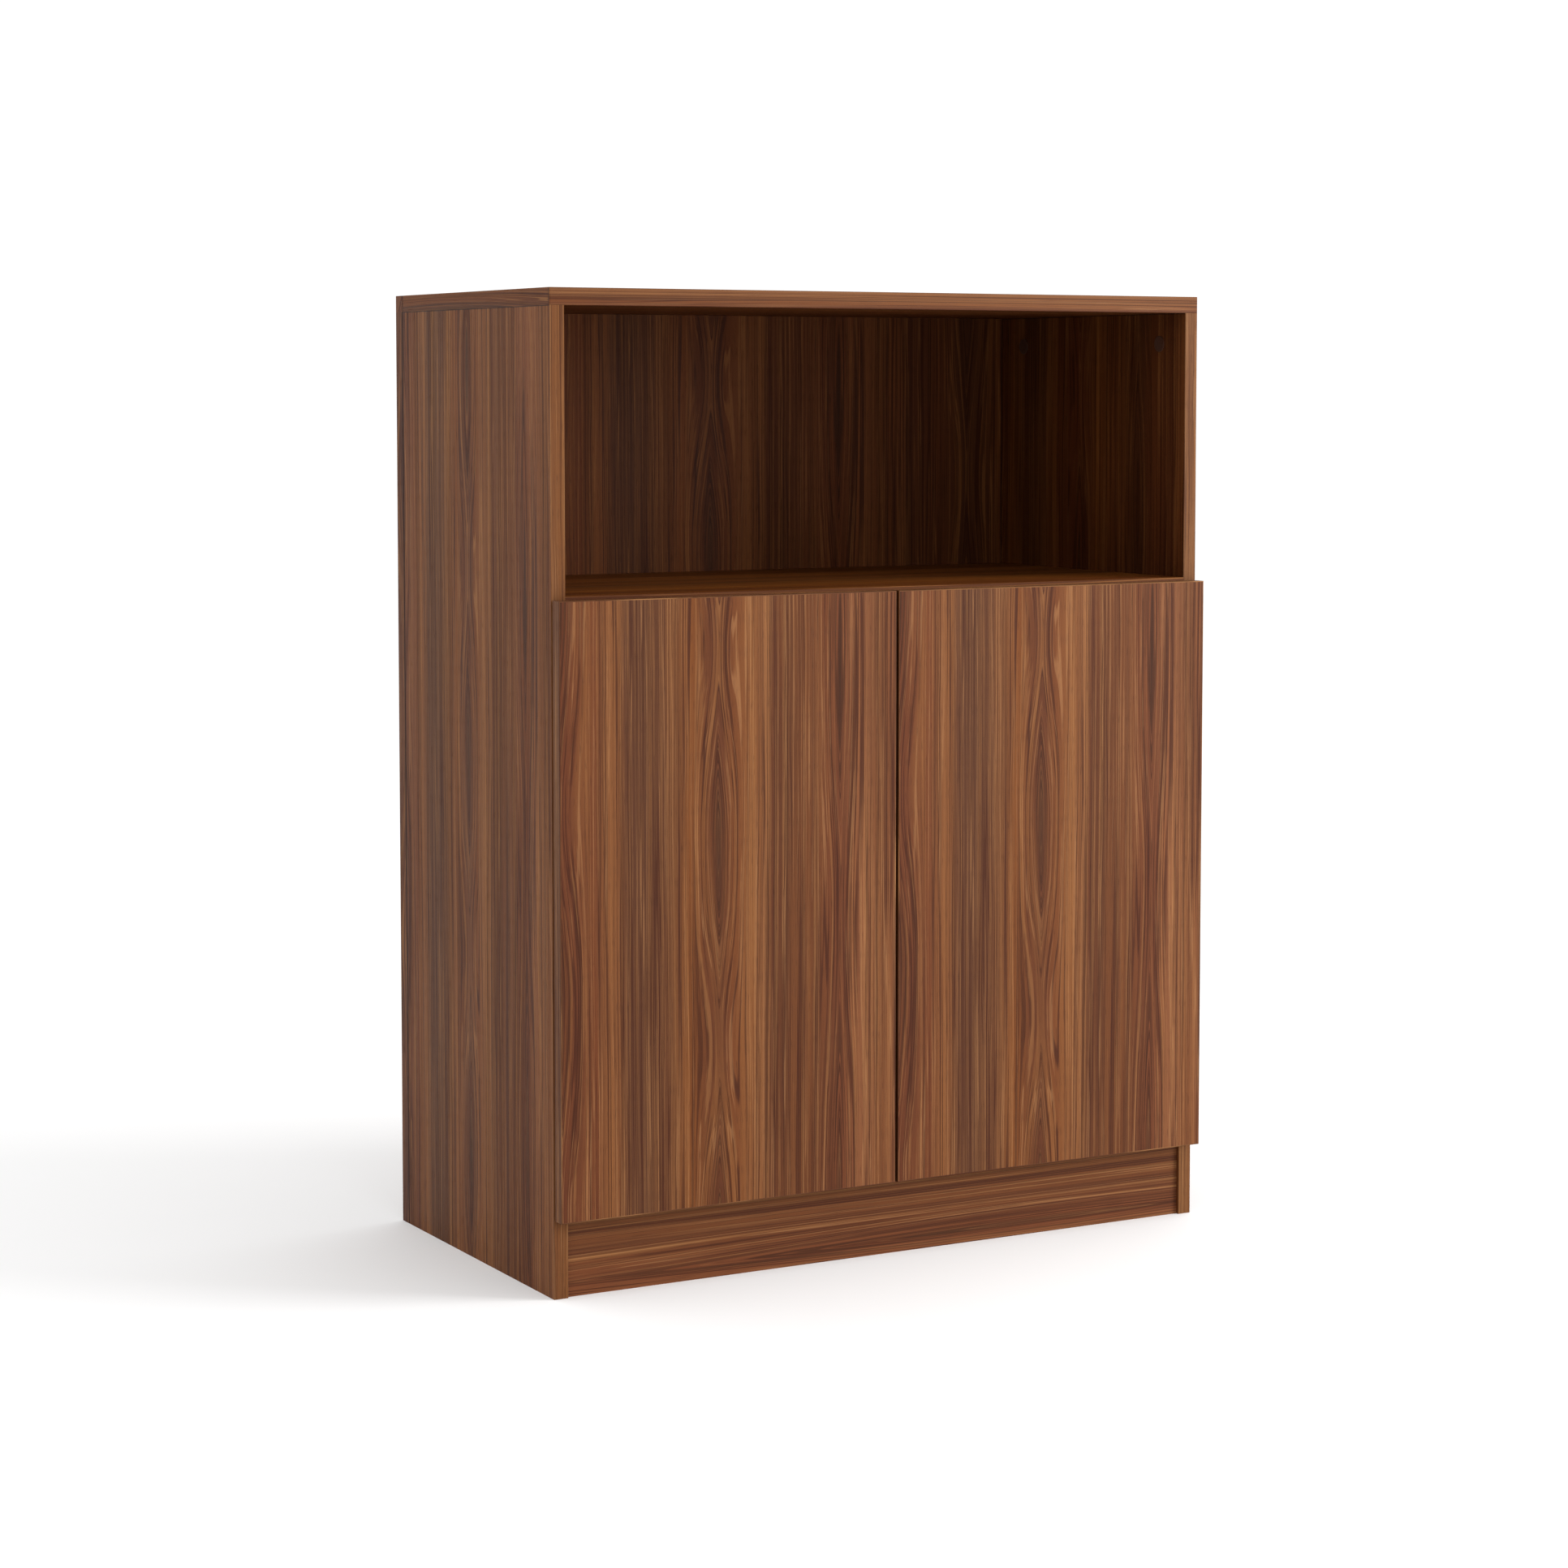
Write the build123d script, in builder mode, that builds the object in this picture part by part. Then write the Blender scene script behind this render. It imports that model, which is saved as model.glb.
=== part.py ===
"""Two-door storage cabinet with an open top compartment, in millimetres.

The origin is the middle of the footprint on the floor, -Y is the front, +X the right-hand
side seen from the front, and +Z is up. Both doors are shown closed.
"""

from build123d import *
import os

# ---- carcase ----
WIDTH = 800.0
HEIGHT = 1040.0
CARCASE_DEPTH = 400.0
BOARD = 16.0
TOP_T = 18.0
BACK_T = 18.0
BAND = 1.0
TOP_BAND = 2.0
BAND_ROUND = 0.6
JOINT_EASE = 0.5
PLINTH_H = 80.0
PLINTH_RECESS = 4.0
SHELF_TOP = 726.0

# ---- doors ----
DOOR_T = 16.0
DOOR_GAP = 1.5
DOOR_REVEAL = 0.75
DOOR_SPLIT = 3.0
DOOR_BOTTOM = 82.5
DOOR_H = 640.0
DOOR_BAND = 1.0

# ---- adjustable shelf on pins ----
LOOSE_SHELF_Z = 395.0
LOOSE_SHELF_PLAY = 1.0
LOOSE_SHELF_SETBACK = 20.0
PIN_R = 2.5
PIN_DEPTH = 9.0
PIN_HOLE_DEPTH = 12.0
PIN_PITCH = 32.0
PIN_ROWS = 7
PIN_PLATE = 2.0
PIN_INSET = 60.0
PIN_ARM = 10.0
PIN_WIDTH = 9.0
PIN_LEG = 8.0

# ---- cam fittings and dowels ----
CAM_R = 7.5
CAM_DEPTH = 12.5
CAM_SETBACK = 34.0
CAM_BORE_R = 4.0
BOLT_R = 3.0
BOLT_THREAD = 11.0
BOLT_HEAD_R = 3.3
BOLT_HEAD_L = 3.0
BOLT_NECK_R = 1.8
BOLT_NECK_L = 8.0
BOLT_COLLAR_R = 3.6
BOLT_COLLAR_L = 5.0
CAM_CAP_R = 9.0
CAM_CAP_T = 1.0
DOWEL_R = 4.0
DOWEL_IN_FACE = 11.0
DOWEL_IN_END = 20.0
FIT_INSET = 50.0
FIT_STEP = 32.0
PLINTH_DOWEL_Z = (24.0, 56.0)
PLAY = 0.05

# ---- screws through the back ----
BACK_SCREW_R = 2.0
BACK_SCREW_HEAD_R = 4.0
BACK_SCREW_L = 40.0
BACK_SCREW_X = (-250.0, 0.0, 250.0)
BACK_SCREW_Z = (110.0, 330.0, 550.0, 770.0, 990.0)

# ---- concealed hinges, plan positions from the outer side and the front of the carcase ----
HINGE_INSET = 100.0
CUP_R = 17.5
CUP_WALL = 1.0
CUP_DEPTH = 12.8
CUP_TAB = 3.0
FLANGE = 0.8
CUP_SCREW_OFFSET = 6.0
CUP_SCREW_STEP = 24.0
CUP_SCREW_R = 1.5
CUP_SCREW_L = 11.0
PLATE_SETBACK = 37.0
PLATE_SCREW_STEP = 16.0
EURO_R = 2.5
EURO_DEPTH = 12.0

# ---- push latches under the fixed shelf, and their strike plates ----
LATCH_X = 26.0
LATCH_EAR = 11.0
LATCH_SETBACK = 24.0
LATCH_SCREW_R = 1.5
LATCH_SCREW_DEPTH = 10.0
LATCH_DROP = 7.0
LATCH_L = 76.0
LATCH_HALF = 7.0
EAR_T = 3.0
PLUNGER_R = 4.0
PLUNGER_L = 62.0
STRIKE_SCREW = 7.5
STRIKE_T = 1.2
BUMPER_R = 4.0

# ---- positions that follow ----
DEPTH = CARCASE_DEPTH + DOOR_GAP + DOOR_T
FRONT = -DEPTH / 2 + DOOR_GAP + DOOR_T
REAR = DEPTH / 2
BACK_FACE = REAR - BACK_T
OUTER = WIDTH / 2
INNER = OUTER - BOARD
TOP_UNDER = HEIGHT - TOP_T
SHELF_UNDER = SHELF_TOP - BOARD
FLOOR_TOP = PLINTH_H + BOARD
DOOR_BACK = FRONT - DOOR_GAP
DOOR_FACE = DOOR_BACK - DOOR_T
DOOR_TOP = DOOR_BOTTOM + DOOR_H
DOOR_OUT = OUTER - DOOR_REVEAL
DOOR_IN = DOOR_SPLIT / 2
FIT_Y = (FRONT + FIT_INSET, BACK_FACE - FIT_INSET)
DOWEL_Y = (FIT_Y[0] + FIT_STEP, FIT_Y[1] - FIT_STEP)
SHELF_MID = SHELF_TOP - BOARD / 2
FLOOR_MID = PLINTH_H + BOARD / 2
PIN_Y = (FRONT + PIN_INSET, BACK_FACE - PIN_INSET)
PLINTH_DOWEL_Y = (FRONT + PLINTH_RECESS + BOARD / 2, BACK_FACE - BOARD / 2)
HINGE_Z = (DOOR_BOTTOM + HINGE_INSET, DOOR_TOP - HINGE_INSET)
PLATE_Y = FRONT + PLATE_SETBACK
CUP_X = -DOOR_OUT + CUP_TAB + CUP_R
CUP_SCREW_X = CUP_X + CUP_SCREW_OFFSET
LATCH_SCREW_Y = FRONT + LATCH_SETBACK
LATCH_FRONT = FRONT + 2.0
LATCH_Z = SHELF_UNDER - LATCH_DROP
SIDES = (-1, 1)

UP, DOWN, BACKWARDS = (0, 0, 1), (0, 0, -1), (0, 1, 0)
FROM_BASE = (Align.CENTER, Align.CENTER, Align.MIN)

os.makedirs("parts", exist_ok=True)


def middle(limits):
    return (limits[0] + limits[1]) / 2


def block(x, y, z, mode=Mode.ADD):
    """Box between two limits on each axis, given to the active part."""
    with Locations((middle(x), middle(y), middle(z))):
        Box(abs(x[1] - x[0]), abs(y[1] - y[0]), abs(z[1] - z[0]), mode=mode)


def facing(points, direction):
    """Places at these points whose own z axis runs along direction."""
    return Locations(*[Plane(origin=point, z_dir=direction) for point in points])


def rods(points, direction, radius, length, mode=Mode.ADD):
    """Round rods, or with Mode.SUBTRACT round holes, each from its point along direction."""
    with facing(points, direction):
        Cylinder(radius, length, align=FROM_BASE, mode=mode)


def drill(points, direction, radius, depth):
    rods(points, direction, radius + PLAY, depth, mode=Mode.SUBTRACT)


def cross_recess(points, into_head, span, slot, depth):
    """Cross cut into the screw head at each point, for a driver."""
    with facing(points, into_head):
        Box(span, slot, depth, align=FROM_BASE, mode=Mode.SUBTRACT)
        Box(slot, span, depth, align=FROM_BASE, mode=Mode.SUBTRACT)


def soften(part, axis, radius=BAND_ROUND):
    """Round the front edges of a band that run along an axis."""
    front = part.faces().sort_by(Axis.Y)[0]
    fillet(front.edges().filter_by(axis), radius)


def ease(part, x, y):
    """Chamfer an upright edge, given on the plan, so that two boards meet in a fine groove."""
    uprights = part.edges().filter_by(Axis.Z)
    chamfer([e for e in uprights if abs(e.center().X - x) + abs(e.center().Y - y) < PLAY], JOINT_EASE)


def save(piece, name):
    piece.part.label = name
    export_step(piece.part, f"parts/{name}.step")


def mirrored(piece):
    with BuildPart() as twin:
        mirror(piece.part, about=Plane.YZ)
    return twin


# ---- top, with its rear strip and its bands ----
top_z = (TOP_UNDER, HEIGHT)
with BuildPart() as top_panel:
    block((-OUTER + BAND, OUTER - BAND), (FRONT + TOP_BAND, BACK_FACE), top_z)
    bolt_ends = [(side * (OUTER - BOARD / 2), y, TOP_UNDER) for side in SIDES for y in FIT_Y]
    dowel_ends = [(side * (OUTER - BOARD / 2), y, TOP_UNDER) for side in SIDES for y in DOWEL_Y]
    drill(bolt_ends, UP, BOLT_R, BOLT_THREAD)
    drill(dowel_ends, UP, DOWEL_R, DOWEL_IN_FACE)
save(top_panel, "top_panel")

with BuildPart() as top_rear_strip:
    block((-OUTER, OUTER), (BACK_FACE, REAR), top_z)
    for side in SIDES:
        ease(top_rear_strip, side * OUTER, BACK_FACE)
save(top_rear_strip, "top_rear_strip")

with BuildPart() as top_front_band:
    block((-OUTER, OUTER), (FRONT, FRONT + TOP_BAND), top_z)
    soften(top_front_band, Axis.X)
    soften(top_front_band, Axis.Z)
save(top_front_band, "top_front_band")

with BuildPart() as top_end_bands:
    for side in SIDES:
        block((side * (OUTER - BAND), side * OUTER), (FRONT + TOP_BAND, BACK_FACE), top_z)
        ease(top_end_bands, side * OUTER, FRONT + TOP_BAND)
        ease(top_end_bands, side * OUTER, BACK_FACE)
save(top_end_bands, "top_end_bands")

# ---- sides ----
pin_z = LOOSE_SHELF_Z - PIN_PLATE - PIN_R
pin_levels = [pin_z + PIN_PITCH * (row - PIN_ROWS // 2) for row in range(PIN_ROWS)]
cam_top_z = TOP_UNDER - CAM_SETBACK


def side_panel(side):
    """Side board with its cam pockets, bolt, dowel, shelf pin and hinge screw holes."""
    towards_outside = (side, 0, 0)
    centre_x = side * (OUTER - BOARD / 2)
    with BuildPart() as panel:
        block((side * INNER, side * OUTER), (FRONT + BAND, BACK_FACE), (0, TOP_UNDER))
        ease(panel, side * OUTER, BACK_FACE)
        drill([(side * INNER, y, cam_top_z) for y in FIT_Y], towards_outside, CAM_R, CAM_DEPTH)
        drill([(centre_x, y, TOP_UNDER) for y in FIT_Y], DOWN, CAM_BORE_R, CAM_SETBACK)
        drill([(centre_x, y, TOP_UNDER) for y in DOWEL_Y], DOWN, DOWEL_R, DOWEL_IN_END)
        for z in (SHELF_MID, FLOOR_MID):
            drill([(side * INNER, y, z) for y in FIT_Y], towards_outside, BOLT_R, BOLT_THREAD)
            drill([(side * INNER, y, z) for y in DOWEL_Y], towards_outside, DOWEL_R, DOWEL_IN_FACE)
        drill([(side * INNER, y, z) for y in PLINTH_DOWEL_Y for z in PLINTH_DOWEL_Z],
              towards_outside, DOWEL_R, DOWEL_IN_FACE)
        drill([(side * INNER, y, z) for y in PIN_Y for z in pin_levels],
              towards_outside, PIN_R, PIN_HOLE_DEPTH)
        drill([(side * INNER, PLATE_Y, z + step) for z in HINGE_Z
               for step in (-PLATE_SCREW_STEP, PLATE_SCREW_STEP)],
              towards_outside, EURO_R, EURO_DEPTH)
        drill([(centre_x, BACK_FACE, z) for z in BACK_SCREW_Z],
              (0, -1, 0), BACK_SCREW_R, BACK_SCREW_L - BACK_T)
    return panel


left_side_panel = side_panel(-1)
save(left_side_panel, "left_side_panel")
right_side_panel = side_panel(1)
save(right_side_panel, "right_side_panel")

with BuildPart() as side_front_bands:
    for side in SIDES:
        block((side * INNER, side * OUTER), (FRONT, FRONT + BAND), (0, TOP_UNDER))
    soften(side_front_bands, Axis.Z)
save(side_front_bands, "side_front_bands")

# ---- fixed shelf and floor ----


def fixed_board(top, drilled_from_below=()):
    """Board between the sides, with cam pockets in its underside and holes in its ends."""
    mid = top - BOARD / 2
    with BuildPart() as panel:
        block((-INNER, INNER), (FRONT + BAND, BACK_FACE), (top - BOARD, top))
        for side in SIDES:
            inwards = (-side, 0, 0)
            cams = [(side * (INNER - CAM_SETBACK), y, top - BOARD) for y in FIT_Y]
            drill(cams, UP, CAM_R, CAM_DEPTH)
            drill([(side * INNER, y, mid) for y in FIT_Y], inwards, CAM_BORE_R, CAM_SETBACK)
            drill([(side * INNER, y, mid) for y in DOWEL_Y], inwards, DOWEL_R, DOWEL_IN_END)
        drill([(x, BACK_FACE, mid) for x in BACK_SCREW_X],
              (0, -1, 0), BACK_SCREW_R, BACK_SCREW_L - BACK_T)
        if drilled_from_below:
            drill(drilled_from_below, UP, LATCH_SCREW_R, LATCH_SCREW_DEPTH)
    return panel


latch_ears = [side * LATCH_X + step for side in SIDES for step in (-LATCH_EAR, LATCH_EAR)]
latch_holes = [(x, LATCH_SCREW_Y, SHELF_UNDER) for x in latch_ears]

fixed_shelf = fixed_board(SHELF_TOP, latch_holes)
save(fixed_shelf, "fixed_shelf")
bottom_panel = fixed_board(FLOOR_TOP)
save(bottom_panel, "bottom_panel")

with BuildPart() as shelf_front_band:
    block((-INNER, INNER), (FRONT, FRONT + BAND), (SHELF_UNDER, SHELF_TOP))
    soften(shelf_front_band, Axis.X)
save(shelf_front_band, "shelf_front_band")

with BuildPart() as bottom_front_band:
    block((-INNER, INNER), (FRONT, FRONT + BAND), (PLINTH_H, FLOOR_TOP))
    soften(bottom_front_band, Axis.X)
save(bottom_front_band, "bottom_front_band")

# ---- plinth and back ----


def plinth_rail(front_y):
    """Upright rail between the sides, under the floor of the cupboard."""
    with BuildPart() as rail:
        block((-INNER, INNER), (front_y, front_y + BOARD), (0, PLINTH_H))
        for side in SIDES:
            ends = [(side * INNER, front_y + BOARD / 2, z) for z in PLINTH_DOWEL_Z]
            drill(ends, (-side, 0, 0), DOWEL_R, DOWEL_IN_END)
    return rail


plinth_front = plinth_rail(FRONT + PLINTH_RECESS)
save(plinth_front, "plinth_front")
plinth_rear = plinth_rail(BACK_FACE - BOARD)
save(plinth_rear, "plinth_rear")

side_screws = [(side * (OUTER - BOARD / 2), REAR, z) for side in SIDES for z in BACK_SCREW_Z]
shelf_screws = [(x, REAR, z) for x in BACK_SCREW_X for z in (FLOOR_MID, SHELF_MID)]
back_screw_points = side_screws + shelf_screws

with BuildPart() as back_panel:
    block((-OUTER, OUTER), (BACK_FACE, REAR), (0, TOP_UNDER))
    for side in SIDES:
        ease(back_panel, side * OUTER, BACK_FACE)
    with facing(back_screw_points, BACKWARDS):
        CounterSinkHole(BACK_SCREW_R + PLAY, BACK_SCREW_HEAD_R + PLAY, counter_sink_angle=90)
save(back_panel, "back_panel")

with BuildPart() as back_screws:
    into_board = (0, -1, 0)
    head_h = BACK_SCREW_HEAD_R - BACK_SCREW_R
    rods(back_screw_points, into_board, BACK_SCREW_R, BACK_SCREW_L - 0.5)
    with facing(back_screw_points, into_board):
        Cone(BACK_SCREW_HEAD_R, BACK_SCREW_R, head_h, align=FROM_BASE)
    cross_recess(back_screw_points, into_board, 4.2, 0.8, 2.0)
save(back_screws, "back_screws")

# ---- adjustable shelf on four pins ----
loose_half = INNER - LOOSE_SHELF_PLAY
loose_z = (LOOSE_SHELF_Z, LOOSE_SHELF_Z + BOARD)
loose_front = FRONT + LOOSE_SHELF_SETBACK
with BuildPart() as adjustable_shelf:
    block((-loose_half, loose_half), (loose_front + BAND, BACK_FACE - LOOSE_SHELF_PLAY), loose_z)
save(adjustable_shelf, "adjustable_shelf")

with BuildPart() as adjustable_shelf_band:
    block((-loose_half, loose_half), (loose_front, loose_front + BAND), loose_z)
    soften(adjustable_shelf_band, Axis.X)
save(adjustable_shelf_band, "adjustable_shelf_band")

with BuildPart() as shelf_pins:
    for side in SIDES:
        for y in PIN_Y:
            wall = side * (INNER - PLAY)
            plate_y = (y - PIN_WIDTH / 2, y + PIN_WIDTH / 2)
            under = LOOSE_SHELF_Z - PIN_PLATE
            block((wall, wall - side * PIN_ARM), plate_y, (under, LOOSE_SHELF_Z))
            block((wall, wall - side * PIN_PLATE), plate_y, (under - PIN_LEG, under))
            rods([(wall, y, pin_z)], (side, 0, 0), PIN_R, PIN_DEPTH)
save(shelf_pins, "shelf_pins")

# ---- dowels, cam bolts, cam discs and their caps ----
fit_boards = (SHELF_MID, FLOOR_MID)
with BuildPart() as dowels:
    into_end, length = DOWEL_IN_END - 1.0, DOWEL_IN_END + DOWEL_IN_FACE - 2.0
    for side in SIDES:
        inner_end = side * (INNER - into_end)
        across = [(inner_end, y, z) for y in DOWEL_Y for z in fit_boards]
        across += [(inner_end, y, z) for y in PLINTH_DOWEL_Y for z in PLINTH_DOWEL_Z]
        rods(across, (side, 0, 0), DOWEL_R - PLAY, length)
        upright_x = side * (OUTER - BOARD / 2)
        rods([(upright_x, y, TOP_UNDER - into_end) for y in DOWEL_Y], UP, DOWEL_R - PLAY, length)
save(dowels, "dowels")

bolt_reach = CAM_SETBACK + 1.0


def cam_bolt(start, direction):
    """Bolt screwed into a board's face at start, its head reaching back into the cam."""
    away = (-direction[0], -direction[1], -direction[2])
    rods([start], direction, BOLT_R, BOLT_THREAD - 0.5)
    rods([start], away, BOLT_COLLAR_R, BOLT_COLLAR_L)
    rods([start], away, BOLT_R, bolt_reach - BOLT_NECK_L)
    rods([start], away, BOLT_NECK_R, bolt_reach - BOLT_HEAD_L)
    head = tuple(s + a * (bolt_reach - BOLT_HEAD_L) for s, a in zip(start, away))
    rods([head], away, BOLT_HEAD_R, BOLT_HEAD_L)


with BuildPart() as cam_bolts:
    for side in SIDES:
        for y in FIT_Y:
            for z in fit_boards:
                cam_bolt((side * INNER, y, z), (side, 0, 0))
            cam_bolt((side * (OUTER - BOARD / 2), y, TOP_UNDER), UP)
save(cam_bolts, "cam_bolts")


def cam_disc(face_point, into_board, towards_bolt):
    """Disc let into a board's face, open on the bolt's side, with a cross recess."""
    head_room = 2 * BOLT_HEAD_R + 0.6
    with Locations(Plane(origin=face_point, x_dir=towards_bolt, z_dir=into_board)):
        Cylinder(CAM_R - PLAY, CAM_DEPTH - 0.3, align=FROM_BASE)
        with Locations((0, 0, BOARD / 2)):
            Box(2 * CAM_R, head_room, head_room,
                align=(Align.MIN, Align.CENTER, Align.CENTER), mode=Mode.SUBTRACT)
            Box(4.4, head_room, head_room, mode=Mode.SUBTRACT)
    cross_recess([face_point], into_board, 8.0, 1.4, 2.5)


with BuildPart() as cam_discs:
    for side in SIDES:
        for y in FIT_Y:
            for under in (SHELF_UNDER, PLINTH_H):
                cam_disc((side * (INNER - CAM_SETBACK), y, under), UP, (side, 0, 0))
            cam_disc((side * INNER, y, cam_top_z), (side, 0, 0), UP)
save(cam_discs, "cam_discs")

with BuildPart() as cam_caps:
    for side in SIDES:
        rods([(side * INNER, y, cam_top_z) for y in FIT_Y], (-side, 0, 0), CAM_CAP_R, CAM_CAP_T)
save(cam_caps, "cam_caps")

# ---- left door, its bands, bumpers and strike plate ----
into_door = (0, -1, 0)
door_y = (DOOR_FACE, DOOR_BACK)
cup_screw_points = [(CUP_SCREW_X, DOOR_BACK, z + step) for z in HINGE_Z
                    for step in (-CUP_SCREW_STEP, CUP_SCREW_STEP)]
strike_screw_points = [(-LATCH_X + step, DOOR_BACK, LATCH_Z)
                       for step in (-STRIKE_SCREW, STRIKE_SCREW)]

with BuildPart() as left_door:
    block((-DOOR_OUT + DOOR_BAND, -DOOR_IN - DOOR_BAND), door_y,
          (DOOR_BOTTOM + DOOR_BAND, DOOR_TOP - DOOR_BAND))
    drill([(CUP_X, DOOR_BACK, z) for z in HINGE_Z], into_door, CUP_R, CUP_DEPTH + PLAY)
    drill(cup_screw_points + strike_screw_points, into_door, CUP_SCREW_R, CUP_SCREW_L)
save(left_door, "left_door")

with BuildPart() as left_door_bands:
    for outer, inner in ((-DOOR_OUT, -DOOR_OUT + DOOR_BAND), (-DOOR_IN, -DOOR_IN - DOOR_BAND)):
        block((outer, inner), door_y, (DOOR_BOTTOM, DOOR_TOP))
    for outer, inner in ((DOOR_BOTTOM, DOOR_BOTTOM + DOOR_BAND), (DOOR_TOP, DOOR_TOP - DOOR_BAND)):
        block((-DOOR_OUT + DOOR_BAND, -DOOR_IN - DOOR_BAND), door_y, (outer, inner))
    uprights = left_door_bands.edges().filter_by(Axis.Z).group_by(Axis.X)
    rails = left_door_bands.edges().filter_by(Axis.X).group_by(Axis.Z)
    fillet(uprights[0] + uprights[-1] + rails[0] + rails[-1], BAND_ROUND)
save(left_door_bands, "left_door_bands")

with BuildPart() as left_door_bumpers:
    spots = [(-DOOR_IN - 10.0, DOOR_BACK, z) for z in (FLOOR_MID + 1.0, SHELF_MID - 2.0)]
    rods(spots, BACKWARDS, BUMPER_R, STRIKE_T)
    fillet(left_door_bumpers.faces().sort_by(Axis.Y)[-2:].edges(), 0.5)
save(left_door_bumpers, "left_door_bumpers")

plate_face = [(x, DOOR_BACK + STRIKE_T, z) for x, y, z in strike_screw_points]
with BuildPart() as left_strike_plate:
    half_x, half_z = STRIKE_SCREW + 4.0, 5.5
    block((-LATCH_X - half_x, -LATCH_X + half_x), (DOOR_BACK, DOOR_BACK + STRIKE_T),
          (LATCH_Z - half_z, LATCH_Z + half_z))
    fillet(left_strike_plate.edges().filter_by(Axis.Y), 2.0)
    with facing(plate_face, into_door):
        Cone(CUP_SCREW_R + STRIKE_T, CUP_SCREW_R, STRIKE_T, align=FROM_BASE, mode=Mode.SUBTRACT)
save(left_strike_plate, "left_strike_plate")

with BuildPart() as left_strike_screws:
    rods(plate_face, into_door, CUP_SCREW_R - PLAY, CUP_SCREW_L)
    with facing(plate_face, into_door):
        Cone(CUP_SCREW_R + STRIKE_T - 2 * PLAY, CUP_SCREW_R - PLAY, STRIKE_T, align=FROM_BASE)
    cross_recess(plate_face, into_door, 2.6, 0.6, 0.7)
save(left_strike_screws, "left_strike_screws")

# ---- left hinges: each is a four-bar of an inner link and a pair of outer link plates ----


def spot(across, depth):
    """Point on the plan, from the carcase's outer side and from its front."""
    return (-OUTER + across, FRONT + depth)


INNER_ARM = spot(38.15, 12.91)
INNER_CUP = spot(9.72, -4.2)
INNER_BEND = spot(20.05, -8.48)
OUTER_ARM = spot(25.9, -6.13)
OUTER_CUP_PIN = spot(11.32, -7.82)
OUTER_CUP_HOLE = spot(11.35, -7.84)
OUTER_BEND = spot(21.13, -11.08)
INNER_LINK_HALF = 2.8
LUG_Z = (3.1, 4.4)
LUG_R = 1.6
OUTER_LINK_Z = (4.8, 7.2)
CHEEK_Z = (7.6, 9.4)
INNER_ARM_PIN_R, OUTER_ARM_PIN_R, INNER_CUP_PIN_R, OUTER_CUP_PIN_R = 1.2, 0.9, 0.9, 0.75
OPEN_HOLE_R = 1.8
CUP_PIN_HALF = 14.0


def both_sides(z, centre):
    """The two levels of a pair of plates above and below a hinge's middle."""
    return [(centre + z[0], centre + z[1]), (centre - z[1], centre - z[0])]


def bar(z, bosses):
    """Flat bar between two levels, running round the given centres and radii."""
    for first, second in zip(bosses, bosses[1:]):
        with BuildSketch(Plane.XY.offset(z[0])) as run:
            for centre, radius in (first, second):
                with Locations(centre):
                    Circle(radius)
            make_hull()
        extrude(run.sketch, amount=z[1] - z[0])


def sheet(z, corners):
    """Flat plate between two levels, with the given corners."""
    with BuildSketch(Plane.XY.offset(z[0])) as outline:
        with BuildLine():
            Polyline(*corners, close=True)
        make_face()
    extrude(outline.sketch, amount=z[1] - z[0])


def pin_holes(z, bores):
    """Upright holes between two levels, each a centre and a pin radius to clear."""
    for centre, radius in bores:
        drill([(*centre, z[0])], UP, radius, z[1] - z[0])


with BuildPart() as left_inner_links:
    for z in HINGE_Z:
        level = (z - INNER_LINK_HALF, z + INNER_LINK_HALF)
        bar(level, [(INNER_ARM, 2.5), (INNER_BEND, 2.3), (INNER_CUP, 2.1)])
        pin_holes(level, [(INNER_ARM, INNER_ARM_PIN_R), (INNER_CUP, INNER_CUP_PIN_R)])
save(left_inner_links, "left_inner_links")

with BuildPart() as left_outer_links:
    for z in HINGE_Z:
        for level in both_sides(OUTER_LINK_Z, z):
            bar(level, [(OUTER_ARM, 1.9), (OUTER_BEND, 1.7), (OUTER_CUP_HOLE, 2.6)])
            pin_holes(level, [(OUTER_ARM, OUTER_ARM_PIN_R), (OUTER_CUP_HOLE, OPEN_HOLE_R)])
save(left_outer_links, "left_outer_links")

CHEEK = [spot(*p) for p in ((23.6, 2.0), (22.6, 10.0), (20.5, 20.0), (20.5, 64.0), (31.0, 64.0),
                            (31.0, 32.0), (40.3, 15.0), (36.4, 11.0), (29.4, 2.0))]
WEB = [spot(*p) for p in ((31.0, 64.0), (31.0, 32.0), (40.3, 16.4), (39.0, 15.8),
                          (29.4, 31.6), (29.4, 64.0))]
ADJUST_Y = (PLATE_Y, PLATE_Y + 19.0)
ADJUST_R = 2.5
WEB_X = -OUTER + 31.0
PLATE_TOP_X = -OUTER + 28.0
web_tops = [(WEB_X, y, z) for z in HINGE_Z for y in ADJUST_Y]

with BuildPart() as left_hinge_arms:
    for z in HINGE_Z:
        for level in both_sides(CHEEK_Z, z):
            sheet(level, CHEEK)
            bar(level, [(INNER_ARM, 2.6), (spot(33.0, 13.0), 3.0)])
            bar(level, [(OUTER_ARM, 2.0), (spot(26.5, 3.0), 3.0)])
            pin_holes(level, [(INNER_ARM, INNER_ARM_PIN_R), (OUTER_ARM, OUTER_ARM_PIN_R)])
        sheet((z - CHEEK_Z[1], z + CHEEK_Z[1]), WEB)
    drill(web_tops, (-1, 0, 0), ADJUST_R, 3.0)
save(left_hinge_arms, "left_hinge_arms")

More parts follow.
